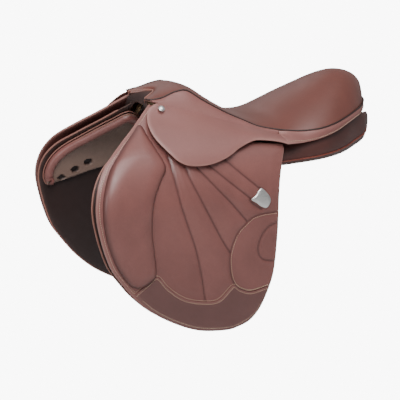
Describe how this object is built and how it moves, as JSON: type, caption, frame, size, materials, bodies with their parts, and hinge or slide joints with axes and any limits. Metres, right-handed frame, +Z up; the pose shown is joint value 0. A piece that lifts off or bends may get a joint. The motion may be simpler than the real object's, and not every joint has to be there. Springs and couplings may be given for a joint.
{
  "type": "english saddle",
  "caption": "Close-contact jumping saddle: laminated tree, forward double flaps with knee rolls, lifting skirts over stirrup bars, punched girth straps, wool-stuffed panels.",
  "frame": {"origin": "underside of the gullet lining at its lowest stretch, where the saddle sits on a rack, midway between the two sides", "axes": "+X to the cantle (rear), +Y to the off (right) side, +Z up"},
  "size_m": [0.6214, 0.344, 0.4352],
  "materials": {
    "seat_leather": "satin",
    "skirt_leather": "satin",
    "flap_leather": "satin",
    "band_leather": "satin",
    "panel_leather": "satin",
    "strap_leather": "satin",
    "lining_leather": "satin",
    "badge_metal": "satin",
    "nail_metal": "satin",
    "forged_steel": "satin",
    "spring_steel": "satin",
    "beech": "satin",
    "webbing": "satin",
    "foam": "satin",
    "wool": "satin"
  },
  "bodies": {
    "root": {"tree_frame": "beech", "gullet_plate": "spring_steel", "gullet_screws": "forged_steel", "head_plate": "spring_steel", "tree_rivets": "forged_steel", "bar_catch_pins": "forged_steel", "seat_webs": "webbing", "seat_foam": "foam", "seat_cover": "seat_leather", "seat_welt": "band_leather", "pommel_facing": "lining_leather", "gullet_lining": "lining_leather", "near_tree_point": "beech", "near_spring_steel": "spring_steel", "near_stirrup_bar": "forged_steel", "near_point_pocket": "lining_leather", "near_girth_web": "webbing", "near_skirt_band": "skirt_leather", "near_sweat_flap": "lining_leather", "near_knee_block": "band_leather", "near_thigh_block": "band_leather", "near_panel_front": "panel_leather", "near_panel": "panel_leather", "near_panel_wool": "wool", "off_tree_point": "beech", "off_spring_steel": "spring_steel", "off_stirrup_bar": "forged_steel", "off_point_pocket": "lining_leather", "off_girth_web": "webbing", "off_skirt_band": "skirt_leather", "off_sweat_flap": "lining_leather", "off_knee_block": "band_leather", "off_thigh_block": "band_leather", "off_panel_front": "panel_leather", "off_panel": "panel_leather", "off_panel_wool": "wool"},
    "near_flap": {"near_flap": "flap_leather", "near_flap_face": "flap_leather", "near_knee_roll": "flap_leather", "near_wear_band": "band_leather", "near_keeper_plate": "badge_metal"},
    "near_skirt": {"near_skirt": "skirt_leather", "near_saddle_nail": "nail_metal"},
    "near_bar_catch": {"near_bar_catch": "forged_steel"},
    "near_front_billet": {"near_front_billet": "strap_leather"},
    "near_middle_billet": {"near_middle_billet": "strap_leather"},
    "near_rear_billet": {"near_rear_billet": "strap_leather"},
    "near_buckle_guard": {"near_buckle_guard": "strap_leather"},
    "off_flap": {"off_flap": "flap_leather", "off_flap_face": "flap_leather", "off_knee_roll": "flap_leather", "off_wear_band": "band_leather", "off_keeper_plate": "badge_metal"},
    "off_skirt": {"off_skirt": "skirt_leather", "off_saddle_nail": "nail_metal"},
    "off_bar_catch": {"off_bar_catch": "forged_steel"},
    "off_front_billet": {"off_front_billet": "strap_leather"},
    "off_middle_billet": {"off_middle_billet": "strap_leather"},
    "off_rear_billet": {"off_rear_billet": "strap_leather"},
    "off_buckle_guard": {"off_buckle_guard": "strap_leather"}
  },
  "joints": [
    {"name": "near_flap_lift", "type": "hinge", "parent": "root", "child": "near_flap", "pos_m": [-0.19, -0.058, 0.106], "axis": [-0.9376, 0.1875, 0.293], "range_deg": [0, 80]},
    {"name": "near_skirt_lift", "type": "hinge", "parent": "near_flap", "child": "near_skirt", "pos_m": [-0.19, -0.058, 0.106], "axis": [-0.9376, 0.1875, 0.293], "range_deg": [0, 20]},
    {"name": "near_bar_catch_turn", "type": "hinge", "parent": "root", "child": "near_bar_catch", "pos_m": [-0.067, -0.10296, 0.04704], "axis": [0, 0.7071, -0.7071], "range_deg": [0, 60]},
    {"name": "near_front_billet_swing", "type": "hinge", "parent": "root", "child": "near_front_billet", "pos_m": [-0.108, -0.146, -0.015], "axis": [0, 1, 0], "range_deg": [-2.5, 2.5]},
    {"name": "near_middle_billet_swing", "type": "hinge", "parent": "root", "child": "near_middle_billet", "pos_m": [-0.07, -0.146, -0.015], "axis": [0, 1, 0], "range_deg": [-2.5, 2.5]},
    {"name": "near_rear_billet_swing", "type": "hinge", "parent": "root", "child": "near_rear_billet", "pos_m": [-0.032, -0.146, -0.015], "axis": [0, 1, 0], "range_deg": [-2.5, 2.5]},
    {"name": "near_buckle_guard_slide", "type": "slide", "parent": "near_middle_billet", "child": "near_buckle_guard", "axis": [0, 0, -1], "range_m": [0, 0.06]},
    {"name": "off_flap_lift", "type": "hinge", "parent": "root", "child": "off_flap", "pos_m": [-0.19, 0.058, 0.106], "axis": [0.9376, 0.1875, -0.293], "range_deg": [0, 80]},
    {"name": "off_skirt_lift", "type": "hinge", "parent": "off_flap", "child": "off_skirt", "pos_m": [-0.19, 0.058, 0.106], "axis": [0.9376, 0.1875, -0.293], "range_deg": [0, 20]},
    {"name": "off_bar_catch_turn", "type": "hinge", "parent": "root", "child": "off_bar_catch", "pos_m": [-0.067, 0.10296, 0.04704], "axis": [0, 0.7071, 0.7071], "range_deg": [0, 60]},
    {"name": "off_front_billet_swing", "type": "hinge", "parent": "root", "child": "off_front_billet", "pos_m": [-0.108, 0.146, -0.015], "axis": [0, 1, 0], "range_deg": [-2.5, 2.5]},
    {"name": "off_middle_billet_swing", "type": "hinge", "parent": "root", "child": "off_middle_billet", "pos_m": [-0.07, 0.146, -0.015], "axis": [0, 1, 0], "range_deg": [-2.5, 2.5]},
    {"name": "off_rear_billet_swing", "type": "hinge", "parent": "root", "child": "off_rear_billet", "pos_m": [-0.032, 0.146, -0.015], "axis": [0, 1, 0], "range_deg": [-2.5, 2.5]},
    {"name": "off_buckle_guard_slide", "type": "slide", "parent": "off_middle_billet", "child": "off_buckle_guard", "axis": [0, 0, -1], "range_m": [0, 0.06]}
  ]
}
